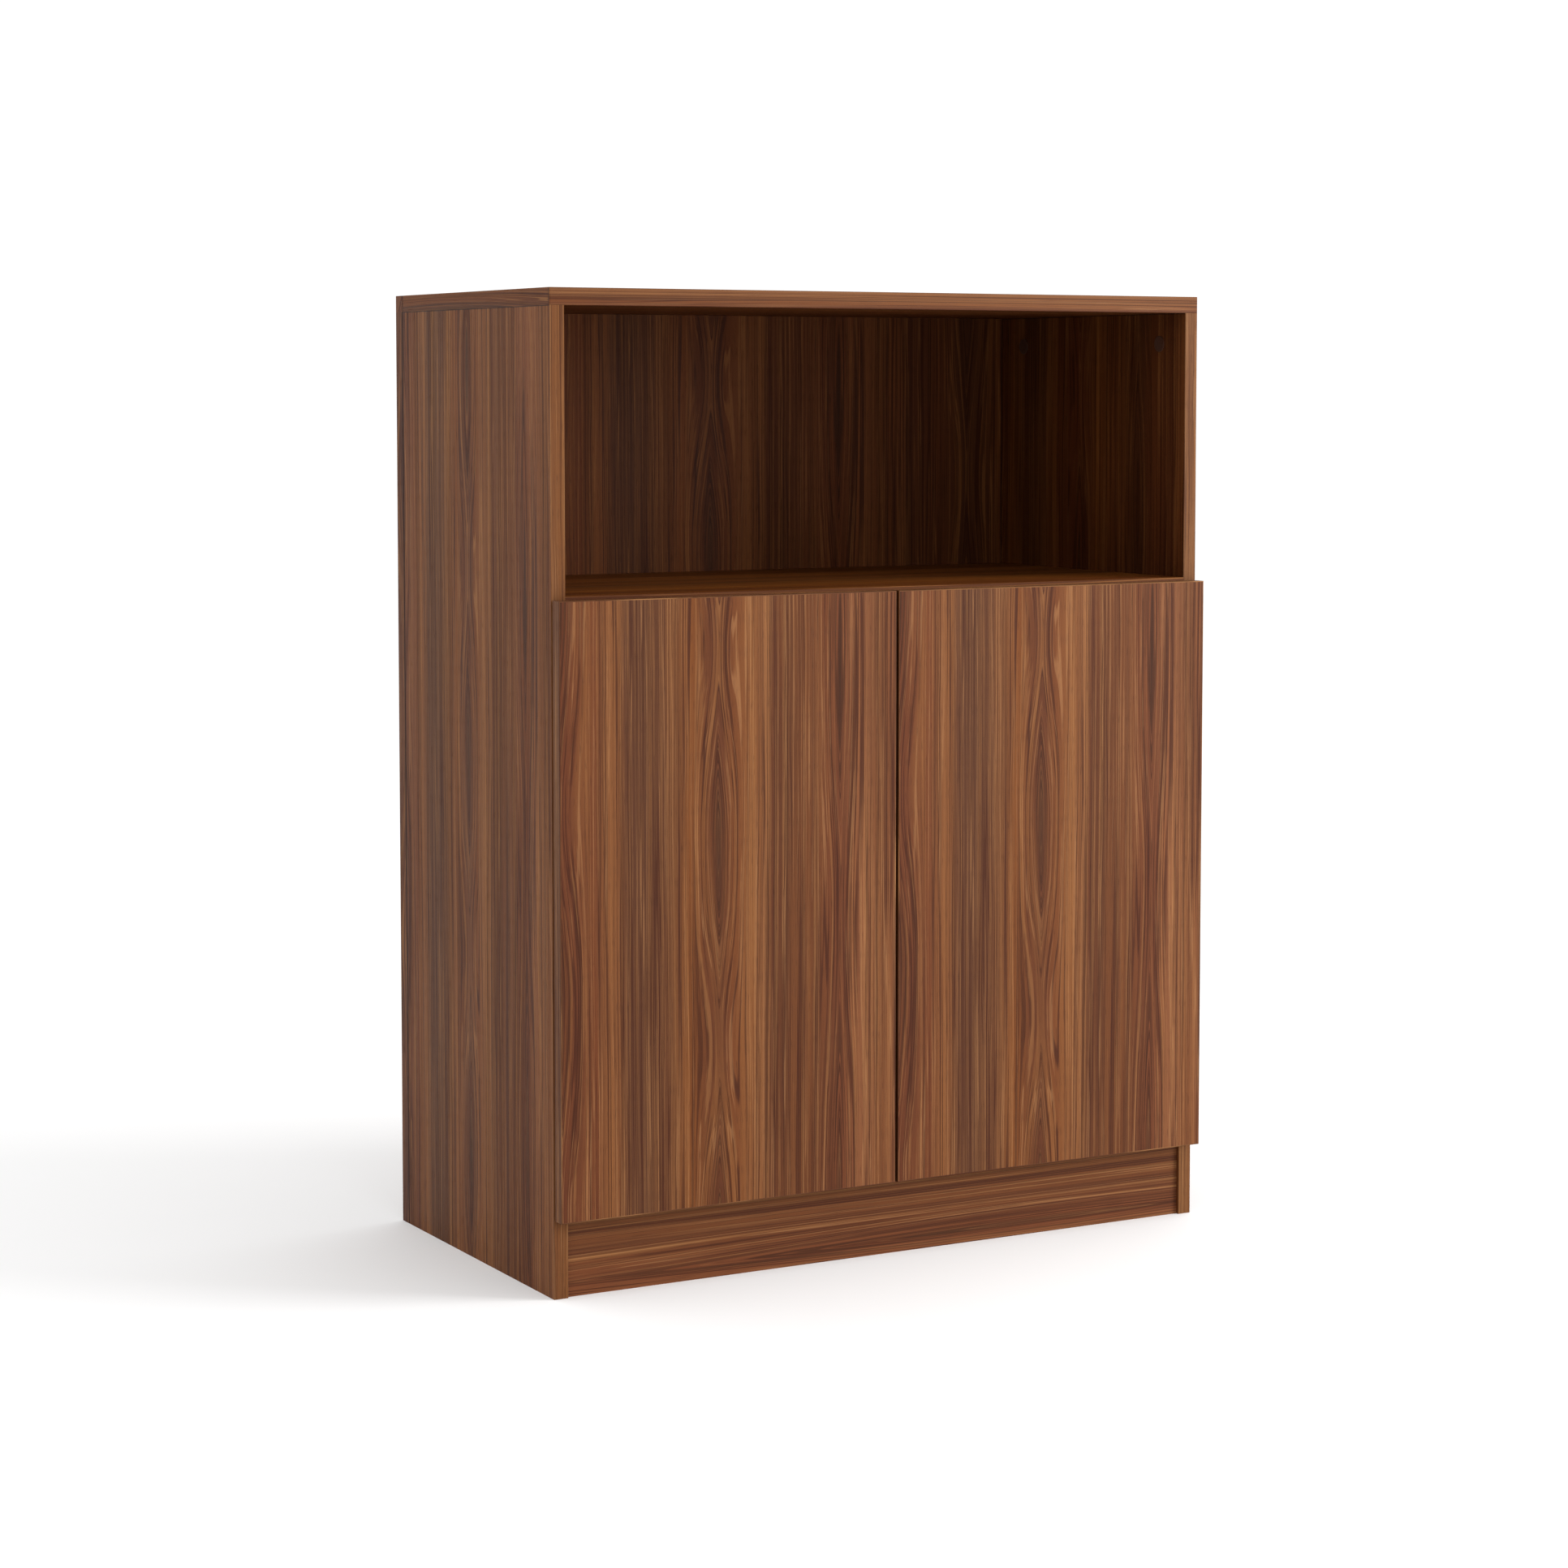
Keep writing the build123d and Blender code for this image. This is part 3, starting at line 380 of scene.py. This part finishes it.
def walnut(name, across, along, start, lift=0.0, tint=(1.0, 1.0, 1.0), seams=(), painted_shade_facing=None):
    """Walnut laminate whose grain runs along one direction. start and lift set where in the print the board
    begins, across and along the grain. Each seam is an axis, a place on it and a width: a thin dark line on
    the faces that look sideways, where two boards meet. A face that looks along the given direction has
    painted shade, a deeper tint that stands in for the shade inside the cabinet."""
    made, g, shader, point = material(name)
    print_ = g.add("ShaderNodeGroup", node_tree=PATTERN)
    g.tree.links.new(g.math("ADD", g.dot(point, across), start), print_.inputs[0])
    g.tree.links.new(g.math("SUBTRACT", g.dot(point, along), lift), print_.inputs[1])
    normal = g.add("ShaderNodeTexCoord").outputs["Normal"]
    shade = (*tint, 1.0)
    # Painted shade: faces that look along the given direction take the darker inside tint, which stands in
    # for the shade in the cabinet.
    if painted_shade_facing:
        shade = g.mix(g.step(g.dot(normal, painted_shade_facing), *PAINTED_SHADE_RANGE), shade, (*INSIDE_PAINTED_SHADE, 1.0))
    colour = g.mix(1.0, print_.outputs[0], shade, "MULTIPLY")
    sideways = g.math("ABSOLUTE", g.dot(normal, X))
    for axis, place, width in seams:
        away = g.math("ABSOLUTE", g.math("SUBTRACT", g.dot(point, axis), place))
        line = g.math("MULTIPLY", g.step(away, width * 0.5, width, SEAM_SHARE, 0.0), sideways)
        colour = g.mix(line, colour, linear(SEAM_COLOUR))
    g.tree.links.new(colour, shader.inputs["Base Color"])
    g.tree.links.new(print_.outputs[2], shader.inputs["Roughness"])
    shader.inputs["Specular IOR Level"].default_value = LAMINATE_SPECULAR
    emboss(g, shader, print_.outputs[1], *LAMINATE_BUMP)
    return made


def metal(name, colour, roughness, clouds, relief):
    """Plated or cast metal: cloudy roughness, faint colour variation and a fine skin."""
    made, g, shader, point = material(name)
    make_cloudy(g, shader, g.noise(point, clouds, 4.0, 0.6), colour, METAL_SHADE, roughness, METAL_SPREAD)
    shader.inputs["Metallic"].default_value = 1.0
    emboss(g, shader, g.noise(point, clouds * METAL_SKIN), relief, METAL_BUMP_DEPTH)
    return made


def plastic(name, colour, roughness, clear=0.0):
    """Moulded plastic or rubber: a fine spark-eroded grain and slightly uneven gloss."""
    made, g, shader, point = material(name)
    cloud = g.noise(point, PLASTIC_CLOUDS, 3.0)
    make_cloudy(g, shader, cloud, colour, PLASTIC_SHADE, roughness, PLASTIC_SPREAD)
    shader.inputs["Transmission Weight"].default_value = clear
    emboss(g, shader, g.noise(point, PLASTIC_GRAIN), *PLASTIC_BUMP)
    return made


def beech(name):
    """Raw turned beech: short brown flecks on a pale ground."""
    made, g, shader, point = material(name)
    flecks = g.noise(point, BEECH_GRAIN, 3.0)
    colour = g.ramp(flecks, [(at, linear(rgb)) for at, rgb in BEECH_STOPS])
    g.tree.links.new(colour, shader.inputs["Base Color"])
    g.tree.links.new(g.step(flecks, *NOISE_RANGE, *BEECH_ROUGHNESS), shader.inputs["Roughness"])
    emboss(g, shader, flecks, *BEECH_BUMP)
    return made


def dress(made, *names):
    """Puts one material in every slot of these CAD nodes."""
    for name in names:
        obj = nodes[name]
        obj.data.materials.clear()
        obj.data.materials.append(made)
        for slot in obj.material_slots:
            slot.link = "OBJECT"
            slot.material = made


def mix_axes(a, b, share):
    """Direction a with a share of b, so that a board's narrow faces show grain too."""
    return tuple(p + share * q for p, q in zip(a, b))


PATTERN = walnut_pattern()

back_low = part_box("back_panel")[0]
top_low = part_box("top_panel")[0]
rear_seam = (Y, back_low.y, REAR_SEAM_WIDTH)
top_seam = (Z, top_low.z, TOP_SEAM_WIDTH)
corner_seam = (Y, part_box("top_front_band")[1].y, CORNER_SEAM_WIDTH)

# Upright boards: grain along Z.
# The sides' inner faces and the back's front face have painted shade.
dress(walnut("walnut_left_side", mix_axes(AGAINST_Y, X, 0.6), Z, start=0.440, lift=0.08, tint=OUTSIDE,
             seams=[rear_seam, top_seam], painted_shade_facing=X),
      "left_side_panel")
dress(walnut("walnut_right_side", mix_axes(Y, X, 0.6), Z, start=0.35, tint=OUTSIDE,
             seams=[rear_seam, top_seam], painted_shade_facing=AGAINST_X),
      "right_side_panel")
dress(walnut("walnut_back", (0.85, 0.5, 0.0), Z, start=0.100, lift=0.28, tint=OUTSIDE,
             seams=[rear_seam], painted_shade_facing=AGAINST_Y),
      "back_panel")
dress(walnut("walnut_side_bands", mix_axes(X, Y, 0.5), Z, start=0.440, tint=SIDE_EDGE),
      "side_front_bands")

# Level boards: grain along X, its figures drawn out along the narrow ones.
long_x = (0.4, 0.0, 0.0)
edge_across = (0.0, 0.5, 3.0)
# The top's underside has painted shade.
dress(walnut("walnut_top", mix_axes(Y, Z, 0.5), X, start=0.33, painted_shade_facing=AGAINST_Z),
      "top_panel", "top_rear_strip")
dress(walnut("walnut_shelves", mix_axes(AGAINST_Y, Z, 0.5), long_x, start=0.08, tint=SHELVES),
      "fixed_shelf", "adjustable_shelf", "bottom_panel")
dress(walnut("walnut_top_band", edge_across, long_x, start=0.217, tint=TOP_EDGE), "top_front_band")
dress(walnut("walnut_shelf_bands", edge_across, long_x, start=0.217, tint=SHELF_EDGE),
      "shelf_front_band", "adjustable_shelf_band", "bottom_front_band")
dress(walnut("walnut_top_ends", (0.5, 0.0, 1.5), (0.0, 0.5, 0.0), start=0.05, tint=OUTSIDE,
             seams=[rear_seam, corner_seam]),
      "top_end_bands")
dress(walnut("walnut_plinth", mix_axes(AGAINST_Z, Y, 0.5), long_x, start=0.436, tint=PLINTH),
      "plinth_front", "plinth_rear")

# Both doors are cut from the same place in the print, so each starts it at its own left edge.
# The two edges that face each other across the middle gap have painted shade, a deeper tint that stands in
# for the shadow in the gap.
for side, middle in (("left", X), ("right", AGAINST_X)):
    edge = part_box(f"{side}_door_bands")[0].x
    dress(walnut(f"walnut_{side}_door", X, Z, start=-edge, tint=DOOR_FACE), f"{side}_door")
    dress(walnut(f"walnut_{side}_door_bands", Y, mix_axes(X, Z, 1.0), start=0.30, tint=DOOR_EDGE,
                 painted_shade_facing=middle),
          f"{side}_door_bands")

# Fittings.
dress(beech("beech_dowel"), "dowels")
dress(plastic("brown_cap", (66, 34, 17), 0.6), "cam_caps")
dress(metal("zinc_cast", (196, 198, 200), 0.42, 160.0, 0.35), "cam_bolts", "cam_discs", "back_screws")
nickel = metal("nickel_plate", (212, 208, 200), 0.26, 60.0, 0.12)
steel = metal("nickel_pins", (190, 188, 184), 0.32, 90.0, 0.15)
grey = plastic("grey_moulding", (150, 151, 153), 0.48)
dark = plastic("dark_moulding", (52, 52, 55), 0.45)
clear = plastic("clear_bumper", (222, 222, 218), 0.28, 0.55)
dress(steel, "shelf_pins")
for side in ("left", "right"):
    dress(nickel, f"{side}_hinge_arms", f"{side}_hinge_cups", f"{side}_mounting_plates",
          f"{side}_inner_links", f"{side}_outer_links", f"{side}_strike_plate")
    dress(steel, f"{side}_arm_pins", f"{side}_cup_pins", f"{side}_adjust_screws", f"{side}_plate_screws",
          f"{side}_cup_screws", f"{side}_strike_screws", f"{side}_latch_screws")
    dress(grey, f"{side}_latch_housing")
    dress(dark, f"{side}_latch_plunger")
    dress(clear, f"{side}_door_bumpers")

# Floor: one large pale sheet.
bpy.ops.mesh.primitive_plane_add(size=FLOOR_SIZE, location=(0.0, 0.0, 0.0))
floor = bpy.context.object
floor.name = "floor"
made, g, shader, point = material("pale_floor")
tone = g.noise(point, FLOOR_CLOUDS)
g.tree.links.new(g.mix(tone, *FLOOR_TONES), shader.inputs["Base Color"])
shader.inputs["Roughness"].default_value = FLOOR_ROUGHNESS
shader.inputs["Specular IOR Level"].default_value = 0.0
floor.data.materials.append(made)

# Soft studio light: a white surround and one large key from the right, low enough to leave the
# compartment dark.
world = bpy.data.worlds.new("studio")
bpy.context.scene.world = world
world.use_nodes = True
background = next(n for n in world.node_tree.nodes if n.type == "BACKGROUND")
background.inputs["Color"].default_value = (1.0, 1.0, 1.0, 1.0)
background.inputs["Strength"].default_value = SURROUND_STRENGTH


def area_light(name, place, target, size, power):
    data = bpy.data.lights.new(name, "AREA")
    data.shape, data.size, data.energy = "SQUARE", size, power
    lamp = bpy.data.objects.new(name, data)
    bpy.context.scene.collection.objects.link(lamp)
    lamp.location = place
    aim = [t - p for t, p in zip(target, place)]
    yaw = math.atan2(aim[1], aim[0]) - math.pi / 2
    pitch = math.pi / 2 + math.atan2(aim[2], math.hypot(aim[0], aim[1]))
    lamp.rotation_euler = (pitch, 0.0, yaw)


area_light("key", KEY_PLACE, KEY_TARGET, KEY_SIZE, KEY_POWER)

# Camera: at the photograph's angle. A slight downward pitch and a small shift between them keep the
# uprights almost parallel, as they are there, and leave the whole cabinet in the frame in other views.
data = bpy.data.cameras.new("camera")
data.sensor_fit, data.sensor_width, data.lens = "AUTO", CAMERA_SENSOR, CAMERA_LENS
data.shift_x, data.shift_y = 0.0, CAMERA_SHIFT
data.clip_start, data.clip_end = CAMERA_CLIP
camera = bpy.data.objects.new("camera", data)
bpy.context.scene.collection.objects.link(camera)
camera.location = CAMERA_PLACE
camera.rotation_euler = (math.radians(90.0 - CAMERA_DOWN), 0.0, math.radians(-CAMERA_RIGHT))
bpy.context.scene.camera = camera

bpy.context.scene.view_settings.view_transform = "Standard"
